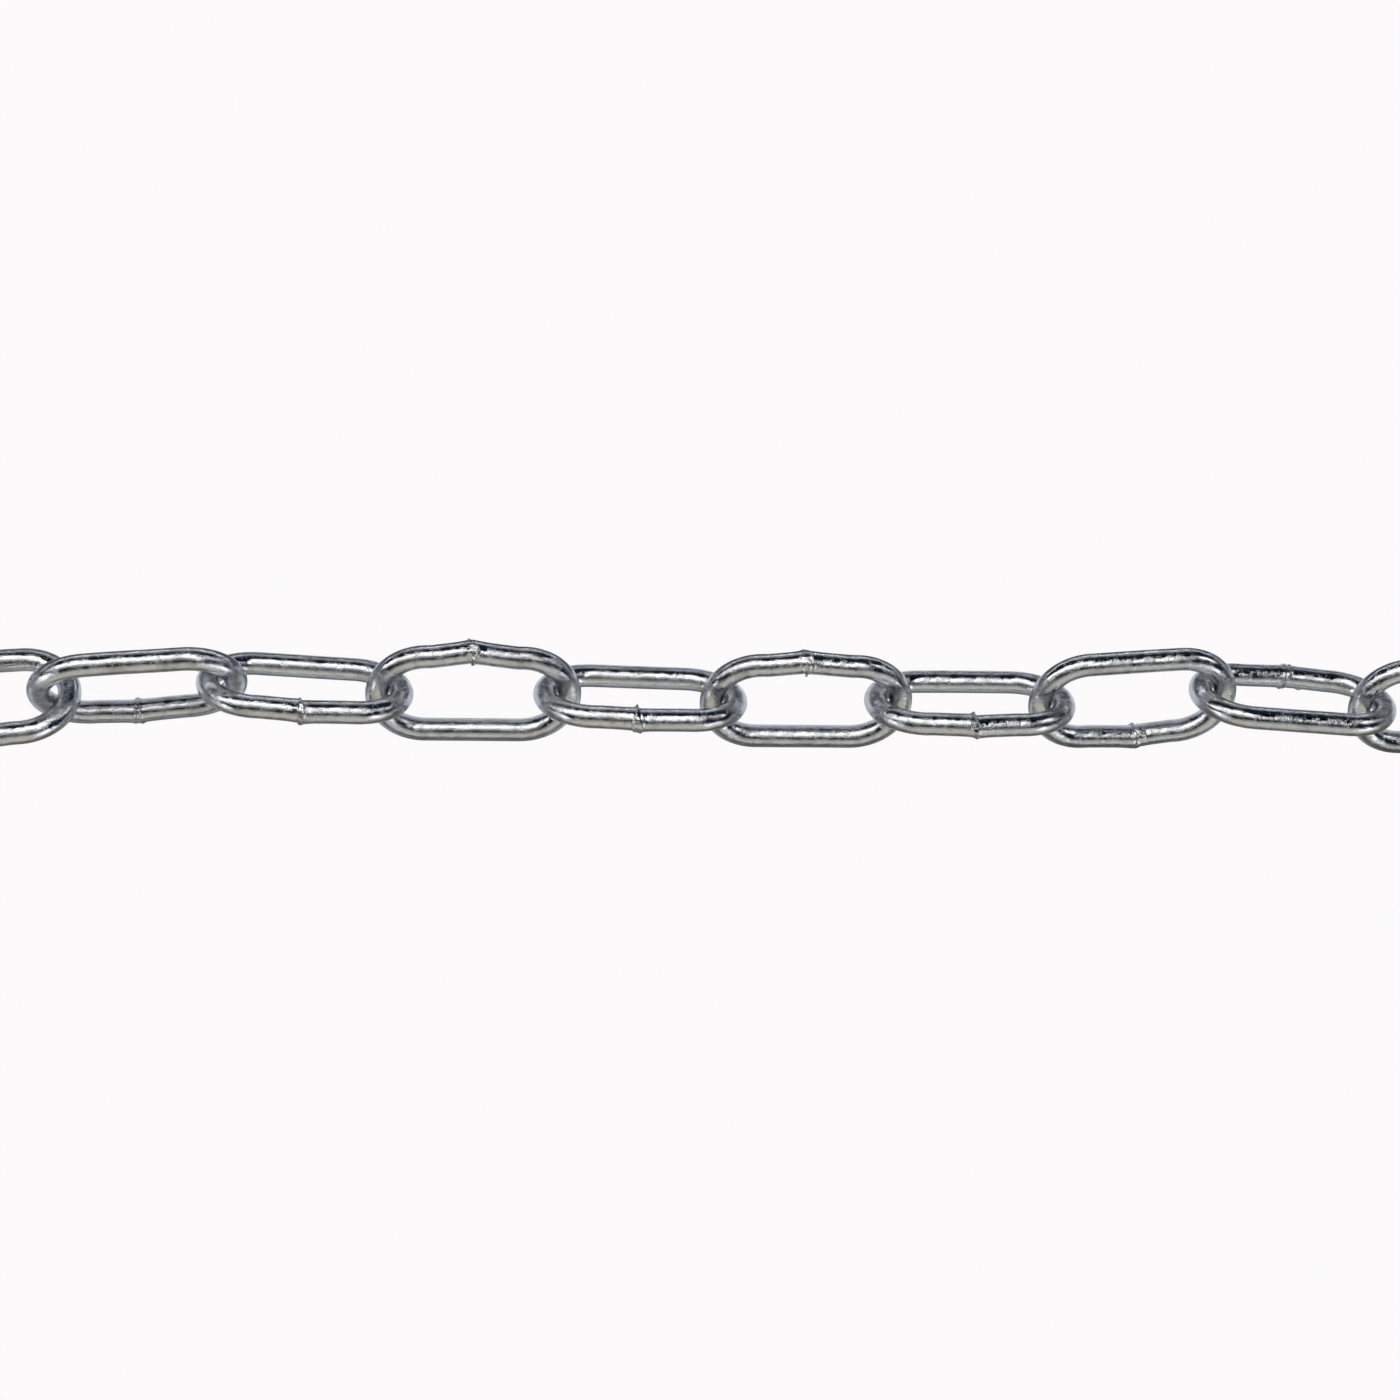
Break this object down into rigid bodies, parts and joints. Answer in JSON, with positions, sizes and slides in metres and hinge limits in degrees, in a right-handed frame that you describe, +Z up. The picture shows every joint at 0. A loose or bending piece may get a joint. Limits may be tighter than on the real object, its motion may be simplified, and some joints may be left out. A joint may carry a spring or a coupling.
{
  "type": "length of welded steel chain",
  "caption": "Straight length of welded steel chain: long oval links of round plated wire, each leaning the other way through the one before it.",
  "frame": {"origin": "middle of the chain's bounding box, on the floor that it lies on", "axes": "+X along the chain, +Z up, +Y away from the viewer of the reference picture"},
  "size_m": [0.4942, 0.0198, 0.0206],
  "materials": {
    "link_01": "bright zinc plating on drawn steel wire, lightly pitted",
    "link_02": "bright zinc plating on drawn steel wire, lightly pitted",
    "link_03": "bright zinc plating on drawn steel wire, lightly pitted",
    "link_04": "bright zinc plating on drawn steel wire, lightly pitted",
    "link_05": "bright zinc plating on drawn steel wire, lightly pitted",
    "link_06": "bright zinc plating on drawn steel wire, lightly pitted",
    "link_07": "bright zinc plating on drawn steel wire, lightly pitted",
    "link_08": "bright zinc plating on drawn steel wire, lightly pitted",
    "link_09": "bright zinc plating on drawn steel wire, lightly pitted",
    "link_10": "bright zinc plating on drawn steel wire, lightly pitted",
    "link_11": "bright zinc plating on drawn steel wire, lightly pitted",
    "link_12": "bright zinc plating on drawn steel wire, lightly pitted",
    "link_13": "bright zinc plating on drawn steel wire, lightly pitted",
    "link_14": "bright zinc plating on drawn steel wire, lightly pitted",
    "link_15": "bright zinc plating on drawn steel wire, lightly pitted",
    "link_16": "bright zinc plating on drawn steel wire, lightly pitted",
    "link_17": "bright zinc plating on drawn steel wire, lightly pitted"
  },
  "bodies": {
    "link_01": {"link_01": "link_01"},
    "link_02": {"link_02": "link_02"},
    "link_03": {"link_03": "link_03"},
    "link_04": {"link_04": "link_04"},
    "link_05": {"link_05": "link_05"},
    "link_06": {"link_06": "link_06"},
    "link_07": {"link_07": "link_07"},
    "link_08": {"link_08": "link_08"},
    "link_09": {"link_09": "link_09"},
    "link_10": {"link_10": "link_10"},
    "link_11": {"link_11": "link_11"},
    "link_12": {"link_12": "link_12"},
    "link_13": {"link_13": "link_13"},
    "link_14": {"link_14": "link_14"},
    "link_15": {"link_15": "link_15"},
    "link_16": {"link_16": "link_16"},
    "link_17": {"link_17": "link_17"}
  },
  "joints": [
    {"name": "link_01_to_link_02", "type": "hinge", "parent": "link_01", "child": "link_02", "pos_m": [-0.21209, -0.00042, 0.00792], "axis": [0, 0.6691, -0.7431], "range_deg": [-90, 90]},
    {"name": "link_02_to_link_03", "type": "hinge", "parent": "link_02", "child": "link_03", "pos_m": [-0.18339, -0.00042, 0.00792], "axis": [0, 0.6691, 0.7431], "range_deg": [-90, 90]},
    {"name": "link_03_to_link_04", "type": "hinge", "parent": "link_03", "child": "link_04", "pos_m": [-0.15492, -0.00167, 0.00931], "axis": [-0.2974, -0.6389, 0.7095], "range_deg": [-90, 90]},
    {"name": "link_04_to_link_05", "type": "hinge", "parent": "link_04", "child": "link_05", "pos_m": [-0.12655, -0.00215, 0.00571], "axis": [-0.3221, -0.6389, -0.6987], "range_deg": [-60, 90]},
    {"name": "link_05_to_link_06", "type": "hinge", "parent": "link_05", "child": "link_06", "pos_m": [-0.09776, 0.00085, 0.00832], "axis": [-0.0277, 0.8908, -0.4536], "range_deg": [-90, 90]},
    {"name": "link_06_to_link_07", "type": "hinge", "parent": "link_06", "child": "link_07", "pos_m": [-0.07117, 0.00149, 0.00686], "axis": [0.5173, 0.2737, 0.8109], "range_deg": [-10, 90]},
    {"name": "link_07_to_link_08", "type": "hinge", "parent": "link_07", "child": "link_08", "pos_m": [-0.04173, 0.00117, 0.00819], "axis": [-0.0058, -0.6434, 0.7655], "range_deg": [-90, 90]},
    {"name": "link_08_to_link_09", "type": "hinge", "parent": "link_08", "child": "link_09", "pos_m": [-0.01303, 0.00101, 0.00831], "axis": [-0.0043, -0.6156, -0.788], "range_deg": [-90, 90]},
    {"name": "link_09_to_link_10", "type": "hinge", "parent": "link_09", "child": "link_10", "pos_m": [0.01565, -0.00005, 0.00828], "axis": [0.023, 0.6289, -0.7771], "range_deg": [-90, 90]},
    {"name": "link_10_to_link_11", "type": "hinge", "parent": "link_10", "child": "link_11", "pos_m": [0.04435, -0.00024, 0.00835], "axis": [0.0063, 0.6018, 0.7986], "range_deg": [-90, 90]},
    {"name": "link_11_to_link_12", "type": "hinge", "parent": "link_11", "child": "link_12", "pos_m": [0.07304, -0.00074, 0.0089], "axis": [-0.0143, -0.6427, 0.766], "range_deg": [-90, 90]},
    {"name": "link_12_to_link_13", "type": "hinge", "parent": "link_12", "child": "link_13", "pos_m": [0.10167, 0.00141, 0.00932], "axis": [0.0479, -0.6276, -0.7771], "range_deg": [-90, 90]},
    {"name": "link_13_to_link_14", "type": "hinge", "parent": "link_13", "child": "link_14", "pos_m": [0.13029, -0.00087, 0.00867], "axis": [0.0343, 0.6553, -0.7546], "range_deg": [-90, 90]},
    {"name": "link_14_to_link_15", "type": "hinge", "parent": "link_14", "child": "link_15", "pos_m": [0.15899, -0.00126, 0.00801], "axis": [0.0228, 0.6425, 0.766], "range_deg": [-90, 90]},
    {"name": "link_15_to_link_16", "type": "hinge", "parent": "link_15", "child": "link_16", "pos_m": [0.18769, -0.00122, 0.00792], "axis": [0.0021, -0.6691, 0.7431], "range_deg": [-90, 90]},
    {"name": "link_16_to_link_17", "type": "hinge", "parent": "link_16", "child": "link_17", "pos_m": [0.21639, -0.00122, 0.00792], "axis": [0, -0.6691, -0.7431], "range_deg": [-90, 90]}
  ]
}
